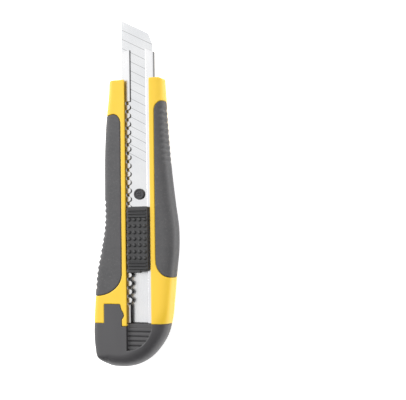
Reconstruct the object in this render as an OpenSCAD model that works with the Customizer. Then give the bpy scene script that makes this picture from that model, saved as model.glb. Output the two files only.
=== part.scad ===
// Snap-off knife with an 18 mm segmented blade, two-material handle,
// toothed steel channel, self-locking thumb slider and pull-off end cap.
// The knife lies on its back. +Y points to the blade tip and +Z out of the slider face.
// The origin is on the flat back, under the middle of the handle frame.

/* [Handle] */
// Thickness of the handle, back face to front face
handle_t = 18; // [17.5:0.5:20]
// Y of the nose end of the handle frame
nose_y = 65; // [60:1:66]
// Y of the joint between handle frame and end cap
cap_joint_y = -66; // [-67:0.5:-65]
// Wall that the soft grips replace on the outside of the frame
grip_t = 1.6; // [1.2:0.2:1.8]
// Left edge of the front window
window_left_x = -6.4; // [-6.6:0.1:-6]
// Right edge of the front window
window_right_x = 7.7; // [7.4:0.1:8.2]
// Height of the flat bottom of the hollow in the handle
hollow_floor_z = 2.8; // [2.6:0.1:3.2]
// Pitch of the finger serrations on the soft grips
serration_pitch = 3.05; // [2.6:0.05:3.2]
// Depth of the finger serrations
serration_depth = 0.8; // [0.3:0.1:1]

/* [Channel] */
// Outside width of the steel channel
channel_w = 20; // [19.6:0.1:20.2]
// Outside depth of the steel channel
channel_h = 3.8; // [3.7:0.1:4]
// Sheet thickness of the channel
channel_t = 0.8; // [0.6:0.1:0.9]
// Y of the mouth of the channel
channel_top_y = 80.8; // [78:0.2:84]
// Pitch of the locking teeth
tooth_pitch = 4.5; // [4.4:0.1:4.6]
// Number of locking teeth
tooth_count = 24; // [18:1:24]
// Radius of the round end of each tooth
tooth_r = 1.5; // [1.3:0.1:1.6]

/* [Blade] */
// Width of the blade
blade_w = 18; // [17.5:0.5:18]
// Length of the blade
blade_l = 101; // [99:1:102]
// Thickness of the blade
blade_t = 0.5; // [0.4:0.05:0.5]
// Length of one snap-off segment
segment_l = 5; // [4:0.5:6]
// Number of score lines
score_count = 14; // [8:1:15]
// Angle of the score lines from square across
score_angle = 28; // [20:1:32]
// Width of the ground bevel at the cutting edge
bevel_w = 3.7; // [2:0.1:4]
// Radius of the hole in the blade's tail
blade_hole_r = 3; // [2.5:0.1:3.2]

/* [Slider] */
// Width of the thumb slider
slider_w = 12; // [11.5:0.1:12.8]
// Length of the thumb slider
slider_l = 34.2; // [32:0.2:35]
// Height of the thumb pad's base above the back of the handle
slider_top_z = 18.9; // [18.7:0.1:20]
// Travel of the slider on its carrier, each way, that frees the lock
release_travel = 1; // [0.5:0.1:1.2]
// Rows of grip dots
dot_rows = 7; // [3:1:7]
// Columns of grip dots
dot_columns = 4; // [2:1:4]
// Radius of one grip dot
dot_r = 0.95; // [0.6:0.05:1.1]

/* [Hidden] */

$fn = 48;
eps = 0.1;
far = 200;
press_gap = 0.05;
fit_gap = 0.15;

// Section of the handle: edges are superellipses that leave the flat faces over a band
nose_rise = 5;
nose_start_y = 5;
nose_length = 60;
wall_mid_z = 10.5;
wall_rise = 3;
back_band = 8.5;
tail_start_y = -56;
tail_length = 14;
front_levels = 6;
back_levels = 5;
curve_steps = 3;

// Edge of the handle seen from the front: down the left, round the end cap, up the right
handle_edge = [
  [-15.6, 68], [-16.2, 57], [-17.8, 43], [-18.9, 25], [-19.2, 2], [-19.5, -14],
  [-21.6, -26], [-24.3, -39], [-25.6, -56], [-26.2, -66], [-25.8, -78.5],
  [-24.4, -84.8], [-19.6, -88.5], [-12, -89.5], [-3.1, -88.1], [4.2, -84.2],
  [9.5, -78.7], [13.5, -72.4], [16, -64.5], [17.7, -51.5], [18.9, -39],
  [20.3, -26], [20.3, -15.5], [18.7, -2.7], [16.9, 13], [15.8, 28], [15.1, 45], [14.8, 68]
];

// The blade and all that carries it lie in layers inside the channel
channel_top_z = 15.8;
channel_bottom_z = channel_top_z - channel_h;
channel_floor_z = channel_bottom_z + channel_t;
lip_z = channel_top_z - channel_t;
channel_end_y = cap_joint_y + 0.6;
lip_left_x = -4;
lip_right_x = 5.1;
tooth_root_x = -6.4;
first_tooth_y = 49.77;
centre_x = (window_left_x + window_right_x) / 2;

blade_top_z = lip_z - 0.1;
blade_tip_y = 97.3;
blade_tail_y = blade_tip_y - blade_l;
stud_y = 2.9;
bevel_edge_t = 0.04;
score_w = 0.28;
score_depth = 0.12;
spine_clip = [2.4, 4.6];

slider_front_y = -4;
slider_back_y = slider_front_y - slider_l;
slider_x0 = centre_x - slider_w / 2;
slider_base_z = channel_top_z + 0.15;
pad_rib_pitch = 1.7;
pad_rib_h = 0.6;
dot_pitch_x = 3;
dot_pitch_y = 3.4;
dot_h = 0.9;
first_dot_y = slider_front_y - 6.7;

slider_corner_r = 1.8;
slider_step = [7.4, 0.8, 2.6];

carrier_front_y = 8.5;
carrier_back_y = slider_back_y + 0.3;
carrier_w = 17.2;
stud_r = blade_hole_r - 0.1;
stud_top_z = 16.3;
stud_root_r = 1.8;
neck_x0 = -1.4;
neck_x1 = 4.6;
neck_y0 = slider_back_y + 2.6;
neck_y1 = slider_front_y - 2.6;
head_x1 = 5.6;
head_z0 = 16.8;
head_z1 = 17.7;

spring_t = 0.35;
spring_z0 = lip_z;
spring_z1 = 16.6;
spring_x = -3.5;
spring_tooth_x = -5.2;
spring_tooth_y = first_tooth_y - 15.5 * tooth_pitch;
rivet_y = [-34.2, -31.6];
rivet_z = 15.8;
rivet_r = 0.4;
rivet_l = 2.3;
rivet_head_r = 0.65;
rivet_head_h = 0.35;

recess_z = 15.6;
recess_left_x = -6.6;
recess_curve = [[7.9, -66], [7.7, -68.5], [6.2, -72.3], [3.4, -76.2], [-0.6, -79], [-6.6, -80.4]];
cap_rib_count = 5;
first_cap_rib_y = cap_joint_y - 3.9;
cap_rib_pitch = 2.5;
cap_rib_w = 1.7;
cap_rib_h = 0.5;
spigot_l = 8;
spigot_wall = 1.6;
cap_hollow_l = 10;
hollow_top_z = 10.8;
hollow_right_x = 10.5;
hollow_left_x = -19;
latch_top_y = -55.8;
latch_z = 16;
nose_corner_r = 2.6;
notch_y = -58.4;
notch_z = 3.5;
notch_depth = 0.75;
notch_size = [2, 2.8, 5];
tab_y = -67.4;
tab_x0 = -9.2;

// Smooth curve through a list of points
function span(p, i) = norm(p[i + 1] - p[i]);
function heading(p, i) =
  i == 0 ? (p[1] - p[0]) / span(p, 0) :
  i == len(p) - 1 ? (p[i] - p[i - 1]) / span(p, i - 1) :
  ((p[i] - p[i - 1]) * span(p, i) / span(p, i - 1)
   + (p[i + 1] - p[i]) * span(p, i - 1) / span(p, i)) / (span(p, i - 1) + span(p, i));
function curve_point(p, i, u) =
  p[i] * (2 * u ^ 3 - 3 * u ^ 2 + 1) + heading(p, i) * span(p, i) * (u ^ 3 - 2 * u ^ 2 + u)
  + p[i + 1] * (3 * u ^ 2 - 2 * u ^ 3) + heading(p, i + 1) * span(p, i) * (u ^ 3 - u ^ 2);
function curve(p, steps) = concat(
  [for (i = [0 : len(p) - 2]) for (k = [0 : steps - 1]) curve_point(p, i, k / steps)],
  [p[len(p) - 1]]);

function ease(t) = let (u = min(max(t, 0), 1)) u * u * (3 - 2 * u);
function mix(a, b, t) = a + (b - a) * t;

// Points and outward normals of the handle's edge
edge = curve(handle_edge, curve_steps);
edge_n = len(edge);
function edge_step(i) = edge[min(i + 1, edge_n - 1)] - edge[max(i - 1, 0)];
function edge_normal(i) =
  i == 0 ? [-1, 0] :
  i == edge_n - 1 ? [1, 0] :
  let (d = edge_step(i)) [d[1], -d[0]] / norm(d);

// How far the rounded edge of the end cap has taken over from the handle's flat one
function slope(i) = ease((tail_start_y - edge[i][1]) / tail_length)
  * (1 - ease((-edge_normal(i)[0] - 0.35) / 0.6));
function front_band(i) = 7.2 + 0.9 * mix(edge_normal(i)[0], max(edge_normal(i)[0], 0), slope(i));
function front_drop(i) = mix(4.6, 7, slope(i));
function front_power(i) = mix(4.4 - 1.2 * edge_normal(i)[0], 2, slope(i));
function nose(y) = max((y - nose_start_y) / nose_length, 0) ^ 2;

// One point of the handle's skin: level 0 is on the front face, the last level on the back
function skin(i, level, inset) =
  let (front = level < front_levels,
       a = 90 * (front ? level / (front_levels - 1) : (level - front_levels) / (back_levels - 1)),
       q = front ? 2 / front_power(i) : 2 / 2.2,
       side = front ? sin(a) ^ q : cos(a) ^ q,
       rise = front ? cos(a) ^ q : sin(a) ^ q,
       band = front ? front_band(i) : back_band,
       y = edge[i][1],
       low = nose_rise * nose(y) + inset,
       mid = wall_mid_z + wall_rise * nose(y),
       z = front ? handle_t - inset - front_drop(i) * (1 - rise) : mid - (mid - low) * rise,
       p = edge[i] - edge_normal(i) * (inset + band * (1 - side)))
  [p[0], p[1], z];

// Solid of the whole handle and cap, moved in by inset on every side
module handle_solid(inset = 0) {
  levels = front_levels + back_levels;
  points = [for (i = [0 : edge_n - 1]) for (k = [0 : levels - 1]) skin(i, k, inset)];
  sides = [for (i = [0 : edge_n - 2]) for (k = [0 : levels - 2])
    let (a = i * levels + k, b = a + levels)
    each [[a, b, b + 1], [a, b + 1, a + 1]]];
  front = [[for (i = [edge_n - 1 : -1 : 0]) i * levels]];
  back = [for (i = [0 : floor((edge_n - 1) / 2) - 1])
    let (a = i * levels + levels - 1, b = (edge_n - 1 - i) * levels + levels - 1)
    each [[a, a + levels, b], [a + levels, b - levels, b]]];
  end = [concat([for (k = [0 : levels - 1]) k],
                [for (k = [levels - 1 : -1 : 0]) (edge_n - 1) * levels + k])];
  polyhedron(points, concat(sides, front, back, end), convexity = 6);
}

// X of the handle's edge at a given Y, on the left and on the right
left_table = [for (p = edge) if (p[0] < -13) [p[1], p[0]]];
right_table = [for (p = edge) if (p[0] > 0) [p[1], p[0]]];
function left_x(y) = lookup(y, left_table);
function right_x(y) = lookup(y, right_table);

// Depth of the finger scallops at a given Y
function scallop(y, first_y) = serration_depth * (1 - abs(cos(180 * (first_y - y) / serration_pitch)));

// Areas of the two soft grips, seen from the front; cut says whether the scallops are cut out
module grip_left_area(cut) {
  first = 0.5;
  count = 16;
  last = first - count * serration_pitch;
  polygon(concat(
    [[-30, last]],
    [for (k = [0 : cut ? 6 * count : -1]) let (y = last + k * serration_pitch / 6)
      [left_x(y) - 0.05 + scallop(y, first), y]],
    [[-30, first], [-30, 43.4], [-17.6, 45.6]],
    [for (a = [90 : -15 : 0]) [-13.3 + 4.4 * cos(a), 41 + 5.4 * sin(a)]],
    [for (a = [0 : -10 : -90]) [-24.5 + 15.5 * cos(a), -39.5 + 12 * sin(a)]],
    [[-30, -51.5]]));
}

module grip_right_area(cut) {
  first = 49.2;
  count = 10;
  last = first - count * serration_pitch;
  polygon(concat(
    [[30, 52.4], [30, first]],
    [for (k = [0 : cut ? 6 * count : -1]) let (y = first - k * serration_pitch / 6)
      [right_x(y) + 0.05 - scallop(y, first), y]],
    [[30, last], [30, -37.8]],
    [for (a = [-40 : -10 : -170]) [18.8 + 8.4 * cos(a), -32.5 + 9.1 * sin(a)]],
    [[10.4, -31]],
    [for (a = [180 : -15 : 90]) [15.6 + 5.2 * cos(a), 47 + 5.4 * sin(a)]]));
}

// Everything under a plan outline, through the whole thickness
module column() {
  translate([0, 0, -far / 2]) linear_extrude(far) children();
}

// One faceted surface for shapes that share the handle's curved skin
module faceted() {
  resize([0, 0, 0]) children();
}

// Soft skin over one grip area
module grip_skin() {
  faceted() difference() {
    intersection() {
      handle_solid();
      column() children();
    }
    handle_solid(grip_t);
  }
}

// Square corner less its round, for cutting a corner of radius r to shape
module corner_cut(r) {
  difference() {
    translate([-eps, -eps]) square(r + eps);
    translate([r, r]) circle(r);
  }
}

// Plan of the hollow inside the handle
module hollow_plan() {
  polygon([[-11.2, 24], [-12, -12], [-17.5, -40], [hollow_left_x, cap_joint_y],
           [hollow_left_x, cap_joint_y - 1], [hollow_right_x, cap_joint_y - 1],
           [hollow_right_x, -45], [13, -30], [12.3, -8], [9, 24]]);
}

// Plan of the sprung tongue on the end cap, grown by gap; its bump clicks into the frame
module latch_plan(gap = 0) {
  polygon([[-19.65 - gap, cap_joint_y], [-19.65 - gap, latch_top_y + gap],
           [-10.3 + gap, latch_top_y + gap], [-9.6 + gap, -58.7], [-8.6 + gap, -60.1],
           [-8.1 + gap, -61.7], [-8.6 + gap, -63], [-9.4 + gap, -63.8],
           [-9.4 + gap, cap_joint_y]]);
}

module handle_frame() {
  color("gold")
  difference() {
    union() {
      faceted() difference() {
        handle_solid();
        difference() {
          column() {
            grip_left_area(false);
            grip_right_area(false);
          }
          handle_solid(grip_t);
        }
        translate([-far / 2, nose_y, -eps]) cube([far, far, far]);
        translate([-far / 2, cap_joint_y - far, -eps]) cube([far, far, far]);
        translate([left_x(nose_y), nose_y, 0]) mirror([0, 1, 0]) column() corner_cut(nose_corner_r);
        translate([right_x(nose_y), nose_y, 0]) rotate(180) column() corner_cut(nose_corner_r);
      }
      translate([tab_x0, tab_y, channel_top_z + eps])
        cube([window_left_x - tab_x0, cap_joint_y - tab_y + 1, handle_t - channel_top_z - eps]);
    }
    translate([-channel_w / 2 - press_gap, -far, channel_bottom_z - press_gap])
      cube([channel_w + 2 * press_gap, 2 * far, channel_h + 2 * press_gap]);
    translate([window_left_x, -far, channel_bottom_z])
      cube([window_right_x - window_left_x, 2 * far, far]);
    translate([0, 0, hollow_floor_z]) linear_extrude(hollow_top_z - hollow_floor_z) hollow_plan();
    translate([0, 0, latch_z - eps]) linear_extrude(far) latch_plan(fit_gap);
    translate([right_x(notch_y) - notch_depth, notch_y, notch_z]) cube(notch_size);
  }
}

module grip_left() {
  color("dimgray") grip_skin() grip_left_area(true);
}

module grip_right() {
  color("dimgray") grip_skin() grip_right_area(true);
}

// Plan of the channel: its mouth is cut back at both corners
module channel_plan() {
  polygon([[-channel_w / 2, channel_end_y], [channel_w / 2, channel_end_y],
           [channel_w / 2, channel_top_y - 2.1], [lip_right_x + 0.5, channel_top_y],
           [-4.8, channel_top_y], [-channel_w / 2, channel_top_y - 1.1]]);
}

// Plan of the left lip: a plain stretch at the mouth, then the locking teeth, then a plain tail
module toothed_lip_plan() {
  rack_top = first_tooth_y + tooth_pitch / 2 + (tooth_pitch / 2 - tooth_r);
  rack_end = first_tooth_y - (tooth_count - 0.5) * tooth_pitch;
  strip_w = tooth_root_x + channel_w / 2;
  translate([-channel_w / 2, channel_end_y]) square([strip_w, channel_top_y - channel_end_y]);
  translate([tooth_root_x - eps, rack_top])
    square([lip_left_x - tooth_root_x + eps, channel_top_y - rack_top]);
  translate([tooth_root_x - eps, channel_end_y])
    square([-5 - tooth_root_x + eps, rack_end - channel_end_y]);
  for (i = [0 : tooth_count - 1]) {
    y = first_tooth_y - i * tooth_pitch;
    translate([lip_left_x - tooth_r, y]) circle(tooth_r);
    translate([tooth_root_x - eps, y - tooth_r])
      square([lip_left_x - tooth_r - tooth_root_x + eps, 2 * tooth_r]);
  }
}

module blade_channel() {
  x0 = -channel_w / 2;
  length = channel_top_y - channel_end_y;
  color("silver")
  intersection() {
    column() channel_plan();
    union() {
      translate([x0, channel_end_y, channel_bottom_z]) cube([channel_w, length, channel_t]);
      translate([x0, channel_end_y, channel_bottom_z]) cube([channel_t, length, channel_h]);
      translate([-x0 - channel_t, channel_end_y, channel_bottom_z])
        cube([channel_t, length, channel_h]);
      translate([0, 0, lip_z]) linear_extrude(channel_t) toothed_lip_plan();
      translate([lip_right_x, channel_end_y, lip_z])
        cube([channel_w / 2 - lip_right_x, length, channel_t]);
    }
  }
}

module blade() {
  slant = tan(score_angle);
  mid_z = blade_top_z - blade_t / 2;
  half = blade_w / 2;
  clip_x = half - spine_clip[0];
  color("gainsboro")
  difference() {
    intersection() {
      column() polygon([[-half, blade_tail_y], [-half, blade_tip_y],
                        [clip_x, blade_tip_y - (clip_x + half) * slant],
                        [half, blade_tip_y - blade_w * slant - spine_clip[1]],
                        [half, blade_tail_y]]);
      translate([0, blade_tip_y + 1, 0]) rotate([90, 0, 0]) linear_extrude(blade_l + 2)
        polygon([[-half, mid_z - bevel_edge_t / 2], [-half + bevel_w, mid_z - blade_t / 2],
                 [half, mid_z - blade_t / 2], [half, mid_z + blade_t / 2],
                 [-half + bevel_w, mid_z + blade_t / 2], [-half, mid_z + bevel_edge_t / 2]]);
    }
    for (i = [1 : score_count])
      translate([-half, blade_tip_y - i * segment_l, blade_top_z - score_depth])
        rotate(-score_angle) translate([-2, -score_w / 2, 0])
          cube([blade_w * 1.4, score_w, 2 * score_depth]);
    translate([centre_x, stud_y, 0]) cylinder(r = blade_hole_r, h = far);
  }
}

module blade_carrier() {
  plate_z = channel_floor_z + eps;
  plate_top_z = blade_top_z - blade_t - press_gap;
  color("darkslategray")
  difference() {
    union() {
      translate([-carrier_w / 2, carrier_back_y, plate_z])
        cube([carrier_w, carrier_front_y - carrier_back_y, plate_top_z - plate_z]);
      translate([-carrier_w / 2, carrier_back_y, plate_z])
        cube([carrier_w, blade_tail_y - fit_gap - carrier_back_y, blade_top_z - plate_z]);
      translate([neck_x0, neck_y0, plate_z])
        cube([neck_x1 - neck_x0, neck_y1 - neck_y0, head_z0 - plate_z + eps]);
      translate([neck_x0, neck_y0, head_z0])
        cube([head_x1 - neck_x0, neck_y1 - neck_y0, head_z1 - head_z0]);
    }
    translate([centre_x, stud_y, 0]) cylinder(r = stud_root_r, h = far);
    for (y = rivet_y)
      translate([neck_x0 - eps, y, rivet_z]) rotate([0, 90, 0]) cylinder(r = rivet_r, h = rivet_l + 2 * eps);
  }
}

module blade_stud() {
  root_z = channel_floor_z + eps;
  seat_z = blade_top_z - blade_t - press_gap;
  dimple_r = 1.1;
  color("dimgray")
  translate([centre_x, stud_y, 0])
  difference() {
    union() {
      translate([0, 0, root_z]) cylinder(r = stud_root_r, h = seat_z - root_z + eps);
      translate([0, 0, seat_z]) cylinder(r = stud_r, h = stud_top_z - seat_z - 0.3);
      translate([0, 0, stud_top_z - 0.3]) cylinder(r1 = stud_r, r2 = stud_r - 0.3, h = 0.3);
    }
    translate([0, 0, stud_top_z - 0.2]) cylinder(r = dimple_r, h = 1);
  }
}

module thumb_slider() {
  clear_y = release_travel + fit_gap;
  body_h = slider_top_z - slider_base_z;
  rib_x = 0.9;
  rib_w = 0.8;
  pad_rib_count = 3;
  spring_bay_x = -4.4;
  tooth_bay_x = -7;
  tooth_bay_l = 6.4;
  bay_h = spring_z1 + 0.4 - slider_base_z + eps;
  color("dimgray")
  difference() {
    union() {
      translate([slider_x0, slider_back_y, slider_base_z]) cube([slider_w, slider_l, body_h]);
      translate([slider_x0, slider_back_y - slider_step[1], slider_base_z])
        cube([slider_step[0], slider_step[1] + eps, slider_step[2]]);
      for (i = [0 : pad_rib_count - 1])
        translate([slider_x0 + rib_x, slider_front_y - 1.4 - rib_w - i * pad_rib_pitch, slider_top_z - eps])
          cube([slider_w - 2 * rib_x, rib_w, pad_rib_h + eps]);
      for (i = [0 : pad_rib_count - 1])
        translate([slider_x0 + rib_x, slider_back_y + 1 + i * pad_rib_pitch, slider_top_z - eps])
          cube([slider_w - 2 * rib_x, rib_w, pad_rib_h + eps]);
      for (row = [0 : dot_rows - 1])
        for (column = [0 : dot_columns - 1])
          translate([centre_x + (column - (dot_columns - 1) / 2) * dot_pitch_x,
                     first_dot_y - row * dot_pitch_y, slider_top_z - eps])
            cylinder(r1 = dot_r, r2 = dot_r - 0.25, h = dot_h + eps);
    }
    translate([slider_x0 + slider_w, slider_back_y, 0]) mirror([1, 0, 0]) column()
      corner_cut(slider_corner_r);
    translate([neck_x0 - fit_gap, neck_y0 - clear_y, slider_base_z - eps])
      cube([neck_x1 - neck_x0 + 2 * fit_gap, neck_y1 - neck_y0 + 2 * clear_y, head_z0 - slider_base_z]);
    translate([neck_x0 - fit_gap, neck_y0 - clear_y, head_z0 - fit_gap])
      cube([head_x1 - neck_x0 + 2 * fit_gap, neck_y1 - neck_y0 + 2 * clear_y,
            head_z1 - head_z0 + 2 * fit_gap]);
    translate([spring_bay_x, neck_y0 - clear_y, slider_base_z - eps])
      cube([neck_x0 - spring_bay_x, neck_y1 - neck_y0 + 2 * clear_y, bay_h]);
    translate([tooth_bay_x, spring_tooth_y - tooth_bay_l / 2, slider_base_z - eps])
      cube([spring_bay_x + 1 - tooth_bay_x, tooth_bay_l, bay_h]);
  }
}

// Flat strip of even thickness along a list of points
module ribbon(path, thickness) {
  n = len(path);
  function side(i) =
    let (d = path[min(i + 1, n - 1)] - path[max(i - 1, 0)]) [-d[1], d[0]] / norm(d) * thickness / 2;
  polygon(concat([for (i = [0 : n - 1]) path[i] + side(i)],
                 [for (i = [n - 1 : -1 : 0]) path[i] - side(i)]));
}

module lock_spring() {
  pad_x = neck_x0 - spring_t / 2;
  y = spring_tooth_y;
  color("lightsteelblue")
  difference() {
    translate([0, 0, spring_z0]) linear_extrude(spring_z1 - spring_z0)
      ribbon([[pad_x, rivet_y[0] - 1.2], [pad_x, -30.4], [-2, -29.2], [-3, -27.6], [spring_x, -26],
              [spring_x, y - 1.9], [-3.75, y - 1.5], [spring_tooth_x + 0.25, y - 0.3],
              [spring_tooth_x + 0.25, y + 0.3], [-3.75, y + 1.5], [spring_x, y + 1.9],
              [spring_x, -9.6], [-3.2, -8.4]], spring_t);
    for (y = rivet_y)
      translate([neck_x0 - 1, y, rivet_z]) rotate([0, 90, 0]) cylinder(r = rivet_r, h = 2);
  }
}

module spring_rivets() {
  head_x = neck_x0 - spring_t;
  color("silver")
  for (y = rivet_y)
    translate([head_x, y, rivet_z]) rotate([0, 90, 0]) {
      cylinder(r = rivet_r, h = spring_t + rivet_l);
      translate([0, 0, -rivet_head_h]) cylinder(r = rivet_head_r, h = rivet_head_h);
    }
}

// Plan of the thumb recess in the end cap, which carries on from the window
module recess_plan() {
  polygon(concat([[recess_left_x, -60], [window_right_x + 0.2, -60]], curve(recess_curve, 4)));
}

module end_cap() {
  spigot_x0 = hollow_left_x + 1.2;
  spigot_w = hollow_right_x - fit_gap - spigot_x0;
  spigot_h = hollow_top_z - hollow_floor_z - 2 * fit_gap;
  color("dimgray") {
    difference() {
      union() {
        difference() {
          handle_solid();
          translate([-far / 2, cap_joint_y, -eps]) cube([far, far, far]);
        }
        translate([spigot_x0, cap_joint_y - 1, hollow_floor_z + fit_gap])
          cube([spigot_w, spigot_l + 1, spigot_h]);
      }
      translate([0, 0, recess_z]) linear_extrude(far) recess_plan();
      translate([tab_x0 - fit_gap, tab_y - fit_gap, channel_top_z])
        cube([-tab_x0, 2, far]);
      translate([spigot_x0 + spigot_wall, cap_joint_y - cap_hollow_l,
                 hollow_floor_z + fit_gap + spigot_wall])
        cube([spigot_w - 2 * spigot_wall, spigot_l + 1 + cap_hollow_l, spigot_h - 2 * spigot_wall]);
    }
    intersection() {
      translate([0, 0, recess_z - eps]) linear_extrude(cap_rib_h + eps) recess_plan();
      union() {
        for (i = [0 : cap_rib_count - 1])
          translate([-far / 2, first_cap_rib_y - i * cap_rib_pitch, 0]) cube([far, cap_rib_w, far]);
      }
    }
  }
}

module cap_latch() {
  color("dimgray")
  translate([0, 0, latch_z]) linear_extrude(handle_t - latch_z) latch_plan();
}

handle_frame();
grip_left();
grip_right();
blade_channel();
blade();
blade_carrier();
blade_stud();
thumb_slider();
lock_spring();
spring_rivets();
end_cap();
cap_latch();
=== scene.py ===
import math

import bpy
import numpy as np
from mathutils import Matrix, Vector


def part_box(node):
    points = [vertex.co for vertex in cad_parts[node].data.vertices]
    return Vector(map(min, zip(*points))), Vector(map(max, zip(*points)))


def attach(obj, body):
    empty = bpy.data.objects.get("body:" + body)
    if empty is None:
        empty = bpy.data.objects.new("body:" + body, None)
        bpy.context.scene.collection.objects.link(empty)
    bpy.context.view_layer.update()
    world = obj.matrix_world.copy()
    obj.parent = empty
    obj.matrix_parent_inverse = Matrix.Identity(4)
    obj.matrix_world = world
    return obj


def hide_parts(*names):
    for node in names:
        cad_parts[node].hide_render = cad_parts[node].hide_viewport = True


# Looks of a snap-off knife. It lies on its back: +Y points to the blade tip and +Z out of the
# slider face. Shapes are worked out in millimetres as distance fields, negative inside, and
# each becomes one smooth closed mesh in metres. The blade, the carrier behind it, the lock
# spring and the rivets keep their CAD meshes, the carrier and rivets with bevelled edges.

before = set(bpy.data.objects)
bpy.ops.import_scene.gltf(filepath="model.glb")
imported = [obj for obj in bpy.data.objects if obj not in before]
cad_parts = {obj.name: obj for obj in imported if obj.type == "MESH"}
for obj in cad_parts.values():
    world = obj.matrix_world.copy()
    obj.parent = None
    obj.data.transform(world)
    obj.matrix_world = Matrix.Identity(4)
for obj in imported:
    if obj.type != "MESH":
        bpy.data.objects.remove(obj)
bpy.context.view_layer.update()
MM = 0.001

# ---------------------------------------------------------------- camera

CAMERA_TARGET = Vector((0, 0, 0.016))
CAMERA_DISTANCE = 0.523
CAMERA_TO_RIGHT = math.radians(23.5)
CAMERA_TO_TAIL = math.radians(2.4)
CAMERA_ROLL = math.radians(-0.656)
CAMERA_LENS = 86.9
CAMERA_SHIFT = (0.1607, -0.0012)


def add_camera():
    back = Vector((math.sin(CAMERA_TO_RIGHT) * math.cos(CAMERA_TO_TAIL), -math.sin(CAMERA_TO_TAIL),
                   math.cos(CAMERA_TO_RIGHT) * math.cos(CAMERA_TO_TAIL)))
    up = (Vector((0, 1, 0)) - back * back.y).normalized()
    turn = Matrix.Rotation(CAMERA_ROLL, 3, back)
    up = turn @ up
    right = up.cross(back)
    data = bpy.data.cameras.new("camera")
    data.lens = CAMERA_LENS
    data.shift_x, data.shift_y = CAMERA_SHIFT
    camera = bpy.data.objects.new("camera", data)
    camera.matrix_world = Matrix((
        (right.x, up.x, back.x, 0), (right.y, up.y, back.y, 0), (right.z, up.z, back.z, 0), (0, 0, 0, 1)))
    camera.location = CAMERA_TARGET + back * CAMERA_DISTANCE
    bpy.context.scene.collection.objects.link(camera)
    bpy.context.scene.camera = camera


add_camera()

# ---------------------------------------------------------------- sizes, from the frame


def box_mm(node):
    low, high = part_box(node)
    return np.array(low) / MM, np.array(high) / MM


frame_low, frame_high = box_mm("handle_frame")
cap_low, cap_high = box_mm("end_cap")
slider_low, slider_high = box_mm("thumb_slider")
channel_low, channel_high = box_mm("blade_channel")
latch_low, latch_high = box_mm("cap_latch")
blade_box = box_mm("blade")

HANDLE_T = frame_high[2]
NOSE_Y = frame_high[1]
CHANNEL_TOP_Z = channel_high[2]
CHANNEL_BOTTOM_Z = channel_low[2]
CAP_JOINT_Y = -66.0
WINDOW_X = (-6.4, 7.7)
GRIP_T = 1.6
GROOVE = 0.13
ABOVE_ALL = 30

# Edge of the handle seen from the front: down the left, round the end cap, up the right
HANDLE_EDGE = [
    (-15.6, 68), (-16.2, 57), (-17.8, 43), (-18.9, 25), (-19.2, 2), (-19.5, -14),
    (-21.6, -26), (-24.3, -39), (-25.6, -56), (-26.2, -66), (-25.8, -78.5),
    (-24.4, -84.8), (-19.6, -88.5), (-12, -89.5), (-3.1, -88.1), (4.2, -84.2),
    (9.5, -78.7), (13.5, -72.4), (16, -64.5), (17.7, -51.5), (18.9, -39),
    (20.3, -26), (20.3, -15.5), (18.7, -2.7), (16.9, 13), (15.8, 28), (15.1, 45), (14.8, 68)]
EDGE_STEPS = 8

# ---------------------------------------------------------------- distance fields


class Space:
    """A grid of points, in millimetres, on which distance fields are worked out."""

    def __init__(self, low, high, step):
        margin = 3 * step
        self.step = step
        self.low = np.array(low, float) - margin
        counts = np.ceil((np.array(high, float) + margin - self.low) / step).astype(int) + 1
        x, y, z = [(self.low[i] + step * np.arange(counts[i])).astype(np.float32) for i in range(3)]
        self.x, self.y, self.z = x[:, None, None], y[None, :, None], z[None, None, :]


def both(a, b, r=0.0):
    """What two solids share, with the edge between them rounded to radius r."""
    if r == 0:
        return np.maximum(a, b)
    return np.minimum(np.maximum(a, b), -r) + np.hypot(np.maximum(a + r, 0), np.maximum(b + r, 0))


def join(a, b, r=0.0):
    """Two solids as one, with a fillet of radius r between them."""
    if r == 0:
        return np.minimum(a, b)
    return np.maximum(np.minimum(a, b), r) - np.hypot(np.maximum(r - a, 0), np.maximum(r - b, 0))


def cut(a, b, r=0.0):
    """The first solid less the second."""
    return both(a, -b, r)


def between(v, low, high):
    return np.maximum(low - v, v - high)


def block(space, low, high, r=0.0):
    sides = both(between(space.x, low[0], high[0]), between(space.y, low[1], high[1]), r)
    return both(sides, between(space.z, low[2], high[2]), r)


def nearest(space, line):
    """Distance of every plan point from a line, and the place on the line nearest to it."""
    best = np.full((space.x.shape[0], space.y.shape[1], 1), 1e6, np.float32)
    place = np.zeros_like(best)
    for i in range(len(line) - 1):
        start, way = line[i], line[i + 1] - line[i]
        t = np.clip(((space.x - start[0]) * way[0] + (space.y - start[1]) * way[1]) / way.dot(way), 0, 1)
        away = np.hypot(space.x - start[0] - t * way[0], space.y - start[1] - t * way[1])
        closer = away < best
        best = np.where(closer, away, best)
        place = np.where(closer, i + t, place)
    return best, place


def plan(space, loop):
    """Signed distance of every plan point from a closed outline."""
    loop = np.array(loop, float)
    closed = np.vstack([loop, loop[:1]])
    away, _ = nearest(space, closed)
    inside = np.zeros(away.shape, bool)
    for a, b in zip(closed[:-1], closed[1:]):
        if a[1] != b[1]:
            crosses = (a[1] > space.y) != (b[1] > space.y)
            inside ^= crosses & (space.x < a[0] + (space.y - a[1]) * (b[0] - a[0]) / (b[1] - a[1]))
    return np.where(inside, -away, away)


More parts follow.
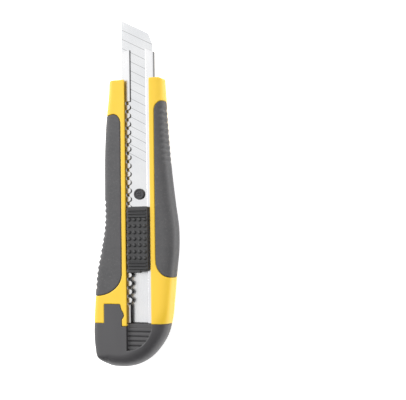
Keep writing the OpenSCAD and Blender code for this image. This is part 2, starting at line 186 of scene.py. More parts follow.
def smooth_line(points, steps):
    """Curve through a list of points that keeps its shape where they are far apart."""
    p = np.array(points, float)
    spans = np.linalg.norm(np.diff(p, axis=0), axis=1)
    chords = np.diff(p, axis=0) / spans[:, None]
    headings = np.empty_like(p)
    headings[0], headings[-1] = chords[0], chords[-1]
    weight = (spans[1:] / (spans[1:] + spans[:-1]))[:, None]
    headings[1:-1] = chords[:-1] * weight + chords[1:] * (1 - weight)
    out = []
    for i, span in enumerate(spans):
        for u in np.arange(steps) / steps:
            out.append(p[i] * (2 * u**3 - 3 * u**2 + 1) + p[i + 1] * (3 * u**2 - 2 * u**3)
                       + span * (headings[i] * (u**3 - 2 * u**2 + u) + headings[i + 1] * (u**3 - u**2)))
    return np.array(out + [p[-1]])


def arc(centre, radii, start, end, steps):
    """Points on an ellipse, from one angle to another in degrees."""
    angles = np.radians(np.linspace(start, end, steps + 1))
    return [(centre[0] + radii[0] * math.cos(a), centre[1] + radii[1] * math.sin(a)) for a in angles]


def ease(t):
    u = np.clip(t, 0, 1)
    return u * u * (3 - 2 * u)


def mix(a, b, t):
    return a + (b - a) * t


# ---------------------------------------------------------------- meshes

CORNERS = np.array([(i, j, k) for i in (0, 1) for j in (0, 1) for k in (0, 1)])
CELL_EDGES = [(a, b) for a in range(8) for b in range(a + 1, 8) if abs(CORNERS[a] - CORNERS[b]).sum() == 1]
RING = ((0, 0), (-1, 0), (-1, -1), (0, -1))


def surface(field, space):
    """The surface where a field crosses zero: a vertex in each cell it cuts, and quads between."""
    inside = field < 0
    shape = tuple(np.array(field.shape) - 1)
    full = np.zeros(shape, np.int8)
    for i, j, k in CORNERS:
        full += inside[i:shape[0] + i, j:shape[1] + j, k:shape[2] + k]
    cells = np.argwhere((full > 0) & (full < 8))
    number = np.full(shape, -1, np.int32)
    number[tuple(cells.T)] = np.arange(len(cells))
    values = [field[tuple((cells + c).T)] for c in CORNERS]
    total, crossings = np.zeros((len(cells), 3)), np.zeros(len(cells))
    for a, b in CELL_EDGES:
        crossed = (values[a] < 0) != (values[b] < 0)
        t = values[a] / np.where(crossed, values[a] - values[b], 1)
        total += crossed[:, None] * (CORNERS[a] + t[:, None] * (CORNERS[b] - CORNERS[a]))
        crossings += crossed
    points = space.low + space.step * (cells + total / crossings[:, None])
    faces = []
    for axis in range(3):
        u, v = (axis + 1) % 3, (axis + 2) % 3
        edges = np.argwhere(np.diff(inside, axis=axis))
        ring = []
        for du, dv in RING:
            cell = edges.copy()
            cell[:, u] += du
            cell[:, v] += dv
            ring.append(number[tuple(cell.T)])
        quads = np.stack(ring, 1)
        outward = inside[tuple(edges.T)]
        faces.append(np.where(outward[:, None], quads, quads[:, ::-1]))
    return points, np.concatenate(faces)


def solid(name, field, space, material, body, nodes):
    """One closed mesh from a field, which stands for CAD nodes."""
    points, quads = surface(field, space)
    mesh = bpy.data.meshes.new(name)
    mesh.vertices.add(len(points))
    mesh.vertices.foreach_set("co", (points * MM).astype(np.float32).ravel())
    mesh.loops.add(quads.size)
    mesh.loops.foreach_set("vertex_index", quads.astype(np.int32).ravel())
    mesh.polygons.add(len(quads))
    mesh.polygons.foreach_set("loop_start", np.arange(0, quads.size, 4, dtype=np.int32))
    mesh.update(calc_edges=True)
    mesh.validate()
    mesh.shade_smooth()
    mesh.materials.append(material)
    piece = bpy.data.objects.new(name, mesh)
    bpy.context.scene.collection.objects.link(piece)
    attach(piece, body)
    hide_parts(*nodes)
    return piece


WELD_DISTANCE = 2e-6
BEVEL_ANGLE = math.radians(35)


def keep_cad(node, material, edge=0.0):
    """A CAD node keeps its mesh and gets a better material, and a bevel if edge is given in mm."""
    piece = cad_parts[node]
    piece.data.materials.clear()
    piece.data.materials.append(material)
    if edge:
        weld = piece.modifiers.new("weld", "WELD")
        weld.merge_threshold = WELD_DISTANCE
        bevel = piece.modifiers.new("bevel", "BEVEL")
        bevel.width = edge * MM
        bevel.segments = 2
        bevel.limit_method = "ANGLE"
        bevel.angle_limit = BEVEL_ANGLE
        bevel.harden_normals = True
    return piece


# ---------------------------------------------------------------- materials


class Nodes:
    """Short names for building the nodes of a material or of the world."""

    def __init__(self, owner, shader):
        owner.use_nodes = True
        self.owner = owner
        self.tree = owner.node_tree
        self.shader = self.tree.nodes[shader]
        self.coordinates = self.tree.nodes.new("ShaderNodeTexCoord").outputs

    def add(self, kind, **inputs):
        node = self.tree.nodes.new(kind)
        for key, value in inputs.items():
            self.put(node.inputs[key], value)
        return node

    def put(self, socket, value):
        if isinstance(value, bpy.types.NodeSocket):
            self.tree.links.new(value, socket)
        else:
            socket.default_value = value

    def calc(self, operation, *values):
        node = self.add("ShaderNodeMath")
        node.operation = operation
        for socket, value in zip(node.inputs, values):
            self.put(socket, value)
        return node.outputs[0]

    def parts(self, vector):
        return self.add("ShaderNodeSeparateXYZ", Vector=vector).outputs

    def noise(self, size, detail=3.0, roughness=0.5, stretch=(1, 1, 1)):
        """Noise whose blobs are about size millimetres, stretched along the axes."""
        scaled = self.add("ShaderNodeMapping", Vector=self.coordinates["Object"])
        scaled.inputs["Scale"].default_value = [1 / s for s in stretch]
        node = self.add("ShaderNodeTexNoise", Vector=scaled.outputs["Vector"])
        node.inputs["Scale"].default_value = 1 / (size * MM)
        node.inputs["Detail"].default_value = detail
        node.inputs["Roughness"].default_value = roughness
        return node.outputs["Fac"]

    def spread(self, value, low, high, out_low, out_high, smooth=False):
        """A value moved from one range to another, and held inside it."""
        node = self.add("ShaderNodeMapRange", Value=value)
        if smooth:
            node.interpolation_type = "SMOOTHSTEP"
        limits = {"From Min": low, "From Max": high, "To Min": out_low, "To Max": out_high}
        for key, number in limits.items():
            node.inputs[key].default_value = number
        return node.outputs["Result"]

    def blend(self, share, a, b):
        node = self.tree.nodes.new("ShaderNodeMix")
        node.data_type = "RGBA"
        self.put(node.inputs[0], share)
        self.put(node.inputs[6], a)
        self.put(node.inputs[7], b)
        return node.outputs[2]

    def bump(self, height, depth, under=None):
        node = self.add("ShaderNodeBump", Height=height)
        node.inputs["Strength"].default_value = 1.0
        node.inputs["Distance"].default_value = depth * MM
        if under is not None:
            self.put(node.inputs["Normal"], under)
        return node.outputs["Normal"]

    def edges(self, low=0.52, high=0.6):
        """0 to 1 as Pointiness goes from low to high: over 0.5 is an outer edge, under it a corner."""
        point = self.add("ShaderNodeNewGeometry").outputs["Pointiness"]
        return self.spread(point, low, high, 0, 1)


def material_nodes(name):
    return Nodes(bpy.data.materials.new(name), "Principled BSDF")


def colour(r, g, b):
    return (r, g, b, 1.0)


def shaded(tone, share):
    """A colour with only a share of its light left."""
    return colour(*[share * c for c in tone[:3]])


def moulded_plastic(name, base, dark, worn, roughness, grain_depth, gloss=0.5, corner_shade=1.0):
    """Moulded plastic: fine grain, flow marks, worn edges and, with a last share below 1, painted shade
    darkening its corners.
    """
    n = material_nodes(name)
    flow = n.spread(n.noise(9, 2, 0.5, (1, 3, 1)), 0.35, 0.65, 0, 1)
    tone = n.blend(flow, base, dark)
    # Corners and hollows are darkened as painted shade, down to the given share of the dark tone
    if corner_shade < 1:
        tone = n.blend(n.edges(0.485, 0.44), tone, shaded(dark, corner_shade))
    fleck = n.noise(0.5, 2)
    scuffs = n.spread(n.noise(2.2, 5, 0.7), 0.6, 0.75, 0, 1)
    wear = n.calc("MULTIPLY", n.edges(), scuffs)
    n.put(n.shader.inputs["Base Color"], n.blend(wear, tone, worn))
    n.put(n.shader.inputs["Roughness"], n.spread(fleck, 0.3, 0.7, roughness - 0.05, roughness + 0.07))
    n.shader.inputs["Specular IOR Level"].default_value = gloss
    grain = n.bump(n.noise(0.32, 2), grain_depth)
    n.put(n.shader.inputs["Normal"], grain)
    return n.owner


def soft_rubber(name):
    """Thermoplastic rubber: matt, with a fine leathery grain and scattered lighter flecks."""
    n = material_nodes(name)
    cloud = n.spread(n.noise(6, 4), 0.35, 0.65, 0, 1)
    tone = n.blend(cloud, colour(0.044, 0.043, 0.046), colour(0.052, 0.05, 0.053))
    fleck = n.spread(n.noise(0.7, 3), 0.56, 0.72, 0, 1)
    n.put(n.shader.inputs["Base Color"], n.blend(fleck, tone, colour(0.085, 0.083, 0.086)))
    n.put(n.shader.inputs["Roughness"], n.spread(n.noise(1.4, 4), 0.3, 0.7, 0.5, 0.64))
    n.shader.inputs["Specular IOR Level"].default_value = 0.85
    fine = n.bump(n.noise(0.28, 2), 0.012)
    n.put(n.shader.inputs["Normal"], n.bump(n.noise(0.8, 3), 0.02, fine))
    return n.owner


BRUSH_LENGTH = 60
STAIN = (0.94, 0.945, 0.955)


def brushed_steel(name, base, roughness, along, scratch, painted_shade=None):
    """Cold-rolled steel with fine lines along one axis, cloudy stains and, if a mask is given, painted
    shade where it says.
    """
    n = material_nodes(name)
    stretch = (1, BRUSH_LENGTH, 1) if along == "y" else (BRUSH_LENGTH, 1, 1)
    lines = n.noise(0.22, 4, 0.6, stretch)
    cloud = n.spread(n.noise(14, 3), 0.35, 0.65, 0, 1)
    tone = n.blend(cloud, base, colour(*[b * s for b, s in zip(base, STAIN)]))
    # The optional mask gives where painted shade darkens the steel, and by how much
    if painted_shade:
        share, shade = painted_shade(n)
        tone = n.blend(share, tone, shaded(base, shade))
    n.put(n.shader.inputs["Base Color"], tone)
    n.shader.inputs["Metallic"].default_value = 1.0
    n.put(n.shader.inputs["Roughness"], n.spread(lines, 0.3, 0.7, roughness - 0.05, roughness + 0.08))
    n.put(n.shader.inputs["Normal"], n.bump(lines, scratch))
    return n.owner


SEGMENT_L = 5.0
SCORE_SLOPE = math.tan(math.radians(28))
SCORES = 14
# How far from its middle the painted shade of a score line stays full, and where it has faded, in shares
# of a segment
SCORE_FADE = (0.025, 0.045)
SCORE_SHADE = 0.62


def score_line_shade(n):
    """1 along the score-line grooves of the blade, where painted shade darkens them, and 0 elsewhere."""
    low, high = blade_box
    place = n.parts(n.coordinates["Object"])
    tip = (high[1] + low[0] * SCORE_SLOPE) / SEGMENT_L
    across = n.calc("MULTIPLY_ADD", place["X"], -SCORE_SLOPE / (SEGMENT_L * MM), tip)
    count = n.calc("MULTIPLY_ADD", place["Y"], -1 / (SEGMENT_L * MM), across)
    line = n.spread(n.calc("PINGPONG", count, 0.5), *SCORE_FADE, 1, 0)
    first = n.spread(count, 0.5, 0.6, 0, 1)
    last = n.spread(count, SCORES + 0.4, SCORES + 0.5, 1, 0)
    return n.calc("MULTIPLY", n.calc("MULTIPLY", line, first), last), SCORE_SHADE


# Where painted shade darkens the channel's sideways faces: how far they face sideways, and where the
# lips end and the bend begins, in metres as the shader sees them
SIDE_FACING = (0.55, 0.85)
LIPS_TO_X = (0.0088, 0.0092)
BEND_FROM_Z = (0.0143, 0.0147)
SIDE_SHADE = 0.1


def painted_side_shade(n):
    """1 on the sideways faces of the lip edges and of the upper bend, which painted shade darkens, and 0
    elsewhere.
    """
    facing = n.parts(n.coordinates["Normal"])
    place = n.parts(n.coordinates["Object"])
    sideways = n.spread(n.calc("ABSOLUTE", facing["X"]), *SIDE_FACING, 0, 1)
    lips = n.spread(n.calc("ABSOLUTE", place["X"]), *LIPS_TO_X, 1, 0)
    bend = n.spread(place["Z"], *BEND_FROM_Z, 0, 1)
    return n.calc("MULTIPLY", sideways, n.calc("MAXIMUM", lips, bend)), SIDE_SHADE


YELLOW = moulded_plastic("yellow_abs", colour(0.94, 0.615, 0.042), colour(0.925, 0.595, 0.036),
                         colour(0.95, 0.66, 0.07), 0.36, 0.006)
# For the three greys the last number is the share of the dark tone that painted shade leaves in their
# corners
CAP_GREY = moulded_plastic("cap_grey", colour(0.047, 0.045, 0.049), colour(0.042, 0.04, 0.044),
                           colour(0.1, 0.098, 0.1), 0.42, 0.012, 0.8, 0.4)
SLIDER_GREY = moulded_plastic("slider_grey", colour(0.04, 0.04, 0.042), colour(0.035, 0.035, 0.037),
                              colour(0.09, 0.09, 0.09), 0.4, 0.01, 0.5, 0.15)
STUD_GREY = moulded_plastic("stud_grey", colour(0.042, 0.043, 0.048), colour(0.036, 0.037, 0.042),
                            colour(0.09, 0.09, 0.09), 0.4, 0.01, 0.5, 0.15)
CARRIER_BLACK = moulded_plastic("carrier_black", colour(0.016, 0.016, 0.017), colour(0.013, 0.013, 0.014),
                                colour(0.04, 0.04, 0.04), 0.5, 0.01)
RUBBER = soft_rubber("grip_rubber")
CHANNEL_STEEL = brushed_steel("channel_steel", colour(0.68, 0.68, 0.685), 0.28, "y", 0.0015, painted_side_shade)
BLADE_STEEL = brushed_steel("blade_steel", colour(0.63, 0.635, 0.642), 0.14, "x", 0.0015, score_line_shade)
SPRING_STEEL = brushed_steel("spring_steel", colour(0.58, 0.59, 0.61), 0.3, "y", 0.002)
RIVET_STEEL = brushed_steel("rivet_steel", colour(0.62, 0.63, 0.65), 0.35, "x", 0.003)

# ---------------------------------------------------------------- handle skin

NOSE_START_Y = 5
NOSE_LENGTH = 60
NOSE_RISE = 5
TAIL_START_Y = -56
TAIL_LENGTH = 14
WALL_MID_Z = 10.5
WALL_RISE = 3
# The front edge rolls off over a band, falls by a drop and is squarer with a higher power. The
# band and the power change from side to side, and the tail has a drop and a power of its own.
FRONT_BAND = 7.2
FRONT_BAND_SIDE = 0.9
FRONT_DROP = 4.6
FRONT_POWER = 4.4
FRONT_POWER_SIDE = 1.2
TAIL_DROP = 7
TAIL_POWER = 2
# How far an edge faces left before the tail's values fade out, and over what span
LEFT_SIDE = 0.35
LEFT_FADE = 0.6
BACK_BAND = 8.5
BACK_POWER = 2.2
handle_edge = smooth_line(HANDLE_EDGE, EDGE_STEPS)


def edge_normals():
    way = np.gradient(handle_edge, axis=0)
    normals = np.stack([way[:, 1], -way[:, 0]], 1) / np.linalg.norm(way, axis=1)[:, None]
    normals[0], normals[-1] = (-1, 0), (1, 0)
    return normals


def rolled_edge(depth, band, height, drop, power):
    """Distance from an edge that leaves a flat face over a band and falls by drop to a wall."""
    a = np.maximum(1 - depth / band, 0)
    b = np.maximum(height / drop + 1, 0)
    whole = np.maximum((a**power + b**power) ** (1 / power), 1e-6)
    steep = np.hypot((a / whole) ** (power - 1) / band, (b / whole) ** (power - 1) / drop)
    return (whole - 1) / np.maximum(steep, 1 / np.maximum(band, drop))


def handle_skin(space):
    """Distance from the skin of the handle and cap together, and the depth in from its edge."""
    away, place = nearest(space, handle_edge)
    outline = plan(space, handle_edge)
    depth = np.where(outline < 0, away, -away)
    index = np.arange(len(handle_edge))
    side = np.interp(place, index, edge_normals()[:, 0])
    edge_y = np.interp(place, index, handle_edge[:, 1])
    slope = ease((TAIL_START_Y - edge_y) / TAIL_LENGTH) * (1 - ease((-side - LEFT_SIDE) / LEFT_FADE))
    band = FRONT_BAND + FRONT_BAND_SIDE * mix(side, np.maximum(side, 0), slope)
    drop = mix(FRONT_DROP, TAIL_DROP, slope)
    power = mix(FRONT_POWER - FRONT_POWER_SIDE * side, TAIL_POWER, slope)
    nose = np.maximum((space.y - NOSE_START_Y) / NOSE_LENGTH, 0) ** 2
    middle, low = WALL_MID_Z + WALL_RISE * nose, NOSE_RISE * nose
    front = rolled_edge(depth, band.astype(np.float32), space.z - HANDLE_T, drop.astype(np.float32),
                        power.astype(np.float32))
    back = rolled_edge(depth, BACK_BAND, low - space.z, middle - low, BACK_POWER)
    return np.maximum(front, back), depth


def grip_left_area():
    return ([(-30, -51.5), (-30, 43.4), (-17.6, 45.6)] + arc((-13.3, 41), (4.4, 5.4), 90, 0, 12)
            + arc((-24.5, -39.5), (15.5, 12), 0, -90, 24))


def grip_right_area():
    return ([(30, 52.4), (30, -37.8)] + arc((18.8, -32.5), (8.4, 9.1), -40, -170, 24)
            + [(10.4, -31)] + arc((15.6, 47), (5.2, 5.4), 180, 90, 12))


SERRATION_PITCH = 3.05
SERRATION_DEPTH = 0.8
SERRATION_REACH = 2.2
HOLLOW_Z = (2.8, 10.8)
HOLLOW = [(-11.2, 24), (-12, -12), (-17.5, -40), (-19, -66), (-19, -67), (10.5, -67), (10.5, -45),
          (13, -30), (12.3, -8), (9, 24)]
LATCH_Z = 16
LATCH = [(-19.65, -66), (-19.65, -55.8), (-10.3, -55.8), (-9.6, -58.7), (-8.6, -60.1),
         (-8.1, -61.7), (-8.6, -63), (-9.4, -63.8), (-9.4, -66)]
LATCH_GAP = 0.12
NOSE_CORNER_R = 2.6
NOSE_EDGE_R = 0.9
TAB = ((-9.2, -67.4, CHANNEL_TOP_Z + 0.1), (WINDOW_X[0], -64, HANDLE_T))
CHANNEL_ROOM_X = 10.05
CHANNEL_PLAY = 0.05
# Undercuts along the window's left edge: how far each goes in, and where it ends
SHADOW_GAPS = ((1.0, CAP_JOINT_Y), (2.6, -54))
SHADOW_GAP_ROOF = 0.8
# The small notch in the right wall, near the cap
NOTCH = ((16.05, -58.4, 3.5), (20, -55.6, 8.5))
FRAME_STEP = 0.33
GRIP_STEP = 0.3
CAP_STEP = 0.28
SLIDER_STEP = 0.14


def make_frame():
    space = Space(frame_low, frame_high, FRAME_STEP)
    skin, depth = handle_skin(space)
    nose_plan = both(-depth, space.y - NOSE_Y, NOSE_CORNER_R)
    body = both(both(skin, nose_plan), space.y - NOSE_Y, NOSE_EDGE_R)
    areas = np.minimum(plan(space, grip_left_area()), plan(space, grip_right_area()))
    body = cut(body, both(areas, -(skin + GRIP_T)), 0.2)
    body = both(body, CAP_JOINT_Y - space.y, 0.15)
    body = np.minimum(body, block(space, *TAB, 0.2))
    channel = both(between(space.x, -CHANNEL_ROOM_X, CHANNEL_ROOM_X),
                   between(space.z, CHANNEL_BOTTOM_Z - CHANNEL_PLAY, CHANNEL_TOP_Z + CHANNEL_PLAY))
    body = cut(body, channel)
    window = both(between(space.x, *WINDOW_X), CHANNEL_BOTTOM_Z - space.z)
    body = cut(body, window, 0.35)
    for reach, end in SHADOW_GAPS:
        gap = block(space, (WINDOW_X[0] - reach, end, CHANNEL_TOP_Z),
                    (WINDOW_X[0] + 1, NOSE_Y + 1, HANDLE_T - SHADOW_GAP_ROOF))
        body = cut(body, gap, 0.15)
    hollow = both(plan(space, HOLLOW), between(space.z, *HOLLOW_Z))
    body = cut(body, hollow, 0.1)
    latch = both(plan(space, LATCH) - LATCH_GAP, LATCH_Z - 0.1 - space.z)
    body = cut(body, both(latch, CAP_JOINT_Y - 2 - space.y), 0.15)
    body = cut(body, block(space, *NOTCH, 0.2), 0.2)
    return solid("handle_shell", body, space, YELLOW, "handle", ["handle_frame"])


def make_grip(name, node, area, first_y, count):
    low, high = box_mm(node)
    space = Space(low - 0.3, high + 0.3, GRIP_STEP)
    skin, depth = handle_skin(space)
    wave = 1 - np.abs(np.cos(np.pi * (first_y - space.y) / SERRATION_PITCH))
    rows = ease((first_y - space.y + 1) / 2) * ease((space.y - first_y + count * SERRATION_PITCH + 1) / 2)
    fade = 1 - ease(depth / SERRATION_REACH)
    grip = both(skin + SERRATION_DEPTH * wave * rows * fade, plan(space, area) + GROOVE, 0.4)
    grip = both(grip, -(skin + GRIP_T - GROOVE), 0.1)
    return solid(name, grip, space, RUBBER, "handle", [node])


RECESS_Z = 15.6
RECESS_CURVE = [(7.9, -66), (7.7, -68.5), (6.2, -72.3), (3.4, -76.2), (-0.6, -79), (-6.6, -80.4)]
CAP_RIBS = 5
CAP_RIB_PITCH = 2.5
CAP_RIB_HALF = 0.97
CAP_RIB_H = 0.5
# The middle of the first rib: its far edge is 3.9 mm from the joint, and 0.85 is half its width
FIRST_CAP_RIB_Y = CAP_JOINT_Y - 3.9 + 0.85
TONGUE_ROOT = 4
SPIGOT_X = (-17.8, 10.35)
SPIGOT_Y = (-68, CAP_JOINT_Y + 8)
SPIGOT_PLAY = 0.15
SPIGOT_INNER_X = (-16.2, 8.75)
SPIGOT_INNER_Y = (-76, -50)
SPIGOT_INNER_PLAY = 1.75
TAB_ROOM = (-9.35, -67.55)


def make_cap():
    low, high = np.minimum(cap_low, latch_low), np.maximum(cap_high, latch_high)
    space = Space(low, high, CAP_STEP)
    skin, depth = handle_skin(space)
    cap = both(skin, space.y - CAP_JOINT_Y, 0.2)
    rooted = [(x, y - TONGUE_ROOT if y == CAP_JOINT_Y else y) for x, y in LATCH]
    tongue = both(both(skin, plan(space, rooted)), LATCH_Z - space.z, 0.2)
    spigot = block(space, (SPIGOT_X[0], SPIGOT_Y[0], HOLLOW_Z[0] + SPIGOT_PLAY),
                   (SPIGOT_X[1], SPIGOT_Y[1], HOLLOW_Z[1] - SPIGOT_PLAY), 0.4)
    cap = np.minimum(np.minimum(cap, tongue), spigot)
    outline = [(-6.6, -60), (7.9, -60)] + [tuple(p) for p in smooth_line(RECESS_CURVE, 6)]
    recess = plan(space, outline)
    floor = RECESS_Z - space.z
    cap = cut(cap, both(recess, floor, 0.3), 0.18)
    row = np.clip(np.round((FIRST_CAP_RIB_Y - space.y) / CAP_RIB_PITCH), 0, CAP_RIBS - 1)
    along = np.abs(space.y - FIRST_CAP_RIB_Y + row * CAP_RIB_PITCH)
    rib = both(along - CAP_RIB_HALF, space.z - RECESS_Z - CAP_RIB_H, 0.25)
    cap = join(cap, both(both(rib, recess - 0.3), RECESS_Z - 1 - space.z), 0.15)
    tab_room = block(space, (*TAB_ROOM, CHANNEL_TOP_Z), (WINDOW_X[0] + 0.3, CAP_JOINT_Y + 0.1, ABOVE_ALL))
    cap = cut(cap, tab_room, 0.15)
    inner = block(space, (SPIGOT_INNER_X[0], SPIGOT_INNER_Y[0], HOLLOW_Z[0] + SPIGOT_INNER_PLAY),
                  (SPIGOT_INNER_X[1], SPIGOT_INNER_Y[1], HOLLOW_Z[1] - SPIGOT_INNER_PLAY), 0.4)
    cap = cut(cap, inner, 0.3)
    return solid("cap_shell", cap, space, CAP_GREY, "cap", ["end_cap", "cap_latch"])


DOT_PITCH = (3.0, 3.4)
DOTS = (4, 7)
DOT_R = 0.95
DOT_H = 0.9
DOT_TAPER = 0.25
FIRST_DOT = 6.7
PAD_TOP_Z = slider_high[2] - DOT_H
PAD_RIB_PITCH = 1.7
PAD_RIBS = 3
PAD_RIB_HALF = 0.42
PAD_RIB_H = 0.6
PAD_RIB_REACH = 5.25
PAD_CORNER_R = 1.8
# The pad's top falls a little over its last few millimetres
PAD_FALL = 0.6
PAD_FALL_L = 7
# The short low step at the tail: width, length and height
STEP_W, STEP_L, STEP_H = 7.4, 0.8, 2.6
# Room under the pad for the carriage's neck and head and for the spring's tooth
ROOM_END = 1.45
NECK_X = (-4.4, 4.75)
NECK_TOP_Z = 17
HEAD_X = (-1.55, 5.75)
HEAD_Z = (16.65, 17.85)
TOOTH_ROOM_X = (-7, -3)
TOOTH_ROOM_Y = (-23.2, -16.8)


def make_slider():
    space = Space(slider_low, slider_high, SLIDER_STEP)
    x0, back, base = slider_low
    x1, front, _ = slider_high
    back = back + STEP_L
    plate_plan = both(both(between(space.x, x0, x1), space.y - front, 0.3), back - space.y, 0.3)
    corner = both(space.x - x1, back - space.y, PAD_CORNER_R)
    fall = PAD_FALL * ease((back + PAD_FALL_L - space.y) / PAD_FALL_L)
    pad = both(both(plate_plan, corner), between(space.z, base, PAD_TOP_Z - fall), 0.3)
    step = block(space, (x0, back - STEP_L, base), (x0 + STEP_W, back + 1, base + STEP_H), 0.2)
    pad = np.minimum(pad, step)
    middle = (x0 + x1) / 2
    for first, way in ((front - 1.8, -1), (back + 1.4, 1)):
        row = np.clip(np.round(way * (space.y - first) / PAD_RIB_PITCH), 0, PAD_RIBS - 1)
        top = PAD_TOP_Z + PAD_RIB_H - fall
        along = np.abs(space.y - first - way * row * PAD_RIB_PITCH)
        rib = both(along - PAD_RIB_HALF, space.z - top, 0.3)
        rib = both(both(rib, np.abs(space.x - middle) - PAD_RIB_REACH, 0.3), PAD_TOP_Z - 1 - space.z)
        pad = join(pad, rib, 0.12)
    half_row = (DOTS[0] - 1) / 2
    column = np.clip(np.round((space.x - middle) / DOT_PITCH[0] + half_row), 0, DOTS[0] - 1) - half_row
    row = np.clip(np.round((front - FIRST_DOT - space.y) / DOT_PITCH[1]), 0, DOTS[1] - 1)
    radius = np.hypot(space.x - middle - column * DOT_PITCH[0],
                      space.y - front + FIRST_DOT + row * DOT_PITCH[1])
    dot = both(radius - DOT_R + DOT_TAPER * (space.z - PAD_TOP_Z), space.z - PAD_TOP_Z - DOT_H, 0.22)
    pad = join(pad, both(dot, PAD_TOP_Z - 1 - space.z), 0.1)
    ends = (back + ROOM_END, front - ROOM_END)
    neck = block(space, (NECK_X[0], ends[0], base - 1), (NECK_X[1], ends[1], NECK_TOP_Z))
    head = block(space, (HEAD_X[0], ends[0], HEAD_Z[0]), (HEAD_X[1], ends[1], HEAD_Z[1]))
    tooth = block(space, (TOOTH_ROOM_X[0], TOOTH_ROOM_Y[0], base - 1),
                  (TOOTH_ROOM_X[1], TOOTH_ROOM_Y[1], NECK_TOP_Z))
    pad = cut(pad, np.minimum(np.minimum(neck, head), tooth))
    return solid("thumb_pad", pad, space, SLIDER_GREY, "slider", ["thumb_slider"])


STUD_ROOT_R = 1.8
STUD_BUTTON_Z = 14.35
DISH_R = 2.05
DISH_DEPTH = 0.28
PIP_R = 0.42
PIP_OFFSET = 0.62
PIP_BELOW_RIM = 0.04
STUD_STEP = 0.08


def make_stud():
    low, high = box_mm("blade_stud")
    space = Space(low, high, STUD_STEP)
    middle = (low + high) / 2
    radius = np.hypot(space.x - middle[0], space.y - middle[1])
    top, rim = high[2], (high[0] - low[0]) / 2
    root = both(radius - STUD_ROOT_R, between(space.z, low[2], top - 0.5))
    button = both(radius - rim, between(space.z, STUD_BUTTON_Z, top), 0.25)
    dish = both(radius - DISH_R, top - DISH_DEPTH - space.z, 0.12)
    stud = cut(np.minimum(root, button), dish, 0.1)
    pip = np.hypot(np.abs(space.x - middle[0]) - PIP_OFFSET, np.abs(space.y - middle[1]) - PIP_OFFSET)
    pips = both(both(pip - PIP_R, space.z - top + PIP_BELOW_RIM, 0.15), top - 0.6 - space.z)
    stud = join(stud, pips, 0.08)
    return solid("stud_button", stud, space, STUD_GREY, "carriage", ["blade_stud"])


SHEET = 0.8
BEND_R = 0.9
LIP_RIGHT_X = 5.1
LIP_LEFT_X = -4.0
LIP_TAIL_X = -5
TOOTH_ROOT_X = -6.4
TOOTH_R = 1.5
TOOTH_PITCH = 4.5
TEETH = 24
FIRST_TOOTH_Y = 49.77
# How far each lip slants back at the mouth, and where the left slant starts
MOUTH_SLANT_RIGHT = 2.1
MOUTH_SLANT_LEFT = 1.1
MOUTH_LEFT_X = -4.8
CHANNEL_STEP = 0.2


def make_channel():
    half, end, mouth = channel_high[0], CAP_JOINT_Y + 0.1, channel_high[1]
    space = Space((-half, end, channel_low[2]), channel_high, CHANNEL_STEP)
    outer = both(both(np.abs(space.x) - half, space.z - CHANNEL_TOP_Z, BEND_R),
                 CHANNEL_BOTTOM_Z - space.z, BEND_R)
    inner = both(np.abs(space.x) - half + SHEET,
                 between(space.z, CHANNEL_BOTTOM_Z + SHEET, CHANNEL_TOP_Z - SHEET), 0.3)
    sheet = cut(outer, inner, 0.1)
    row = np.clip(np.round((FIRST_TOOTH_Y - space.y) / TOOTH_PITCH), 0, TEETH - 1)
    along = space.y - FIRST_TOOTH_Y + row * TOOTH_PITCH
    across = space.x - LIP_LEFT_X + TOOTH_R
    tooth = np.where(across > 0, np.hypot(across, along), np.abs(along)) - TOOTH_R
    rack_top = FIRST_TOOTH_Y + TOOTH_PITCH - TOOTH_R
    rack_end = FIRST_TOOTH_Y - (TEETH - 0.5) * TOOTH_PITCH
    plain = both(space.x - LIP_LEFT_X, rack_top - space.y, 0.4)
    tail = both(space.x - LIP_TAIL_X, space.y - rack_end)
    strip = space.x - TOOTH_ROOT_X
    left = join(join(tooth, strip, 0.25), np.minimum(plain, tail), 0.3)
    lips = np.minimum(left, LIP_RIGHT_X - space.x)
    sheet = cut(sheet, both(-lips, CHANNEL_TOP_Z - SHEET - 0.1 - space.z), 0.12)
    outline = [(-half, end), (half, end), (half, mouth - MOUTH_SLANT_RIGHT), (LIP_RIGHT_X + 0.5, mouth),
               (MOUTH_LEFT_X, mouth), (-half, mouth - MOUTH_SLANT_LEFT)]
    sheet = both(sheet, plan(space, outline), 0.12)
    return solid("channel_sheet", sheet, space, CHANNEL_STEEL, "handle", ["blade_channel"])


make_channel()
make_frame()
make_grip("grip_skin_left", "grip_left", grip_left_area(), 0.5, 16)
make_grip("grip_skin_right", "grip_right", grip_right_area(), 49.2, 10)
make_cap()
make_slider()
keep_cad("blade", BLADE_STEEL)
keep_cad("blade_carrier", CARRIER_BLACK, 0.1)
make_stud()
keep_cad("lock_spring", SPRING_STEEL)
keep_cad("spring_rivets", RIVET_STEEL, 0.05)

# ---------------------------------------------------------------- stage and light

# Over each span of directions the tent goes between full light and a share of it, and near the
# horizon it never falls below TENT_HORIZON
TENT_RIGHT_SPAN = (-0.15, 0.6)
TENT_RIGHT = 0.66
TENT_TAIL_SPAN = (-0.7, 0.02)
TENT_TAIL = 0.2
TENT_HORIZON_TOP = 0.3
TENT_HORIZON = 0.35
TENT_STRENGTH = 1.34
KEY_PLACE = (-0.86, 0.22, 0.48)
KEY_SIZE = (0.6, 0.7)
KEY_POWER = 4.2
FILL_PLACE = (0.78, 0.42, 0.42)
FILL_SIZE = (0.5, 0.8)
FILL_POWER = 0.9
FLOOR_GLOW = 0.72
FLOOR_HALF = 2.0
FLOOR_Z = -0.0002


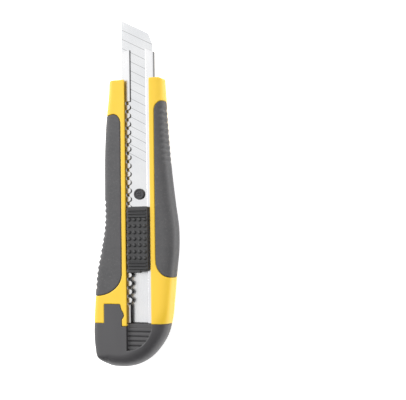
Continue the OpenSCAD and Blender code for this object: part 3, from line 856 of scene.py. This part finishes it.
def add_floor():
    half = FLOOR_HALF
    mesh = bpy.data.meshes.new("floor")
    mesh.from_pydata([(-half, -half, 0), (half, -half, 0), (half, half, 0), (-half, half, 0)], [],
                     [(0, 1, 2, 3)])
    floor = bpy.data.objects.new("floor", mesh)
    floor.location.z = FLOOR_Z
    bpy.context.scene.collection.objects.link(floor)
    n = material_nodes("floor_white")
    tone = n.blend(n.noise(40, 2), colour(0.9, 0.9, 0.9), colour(0.93, 0.93, 0.93))
    n.put(n.shader.inputs["Base Color"], tone)
    n.shader.inputs["Roughness"].default_value = 0.9
    n.shader.inputs["Emission Color"].default_value = colour(1, 1, 1)
    n.shader.inputs["Emission Strength"].default_value = FLOOR_GLOW
    mesh.materials.append(n.owner)


def add_world():
    """A white tent, dimmer to the right and towards the tail, but never black near the horizon."""
    world = bpy.data.worlds.new("tent")
    bpy.context.scene.world = world
    n = Nodes(world, "Background")
    way = n.parts(n.coordinates["Generated"])
    right = n.spread(way["X"], *TENT_RIGHT_SPAN, 1.0, TENT_RIGHT, smooth=True)
    tail = n.spread(way["Y"], *TENT_TAIL_SPAN, TENT_TAIL, 1.0, smooth=True)
    horizon = n.spread(way["Z"], 0.0, TENT_HORIZON_TOP, TENT_HORIZON, 0.0, smooth=True)
    n.put(n.shader.inputs["Color"], n.calc("MAXIMUM", n.calc("MULTIPLY", right, tail), horizon))
    n.shader.inputs["Strength"].default_value = TENT_STRENGTH


def add_light(name, place, target, size, power):
    data = bpy.data.lights.new(name, "AREA")
    data.shape = "RECTANGLE"
    data.size, data.size_y = size
    data.energy = power
    light = bpy.data.objects.new(name, data)
    light.location = place
    light.rotation_mode = "QUATERNION"
    light.rotation_quaternion = (Vector(place) - Vector(target)).to_track_quat("Z", "Y")
    bpy.context.scene.collection.objects.link(light)


add_floor()
add_world()
add_light("key", KEY_PLACE, (0, 0, 0), KEY_SIZE, KEY_POWER)
add_light("fill", FILL_PLACE, (0, 0, 0), FILL_SIZE, FILL_POWER)
bpy.context.scene.view_settings.view_transform = "Standard"
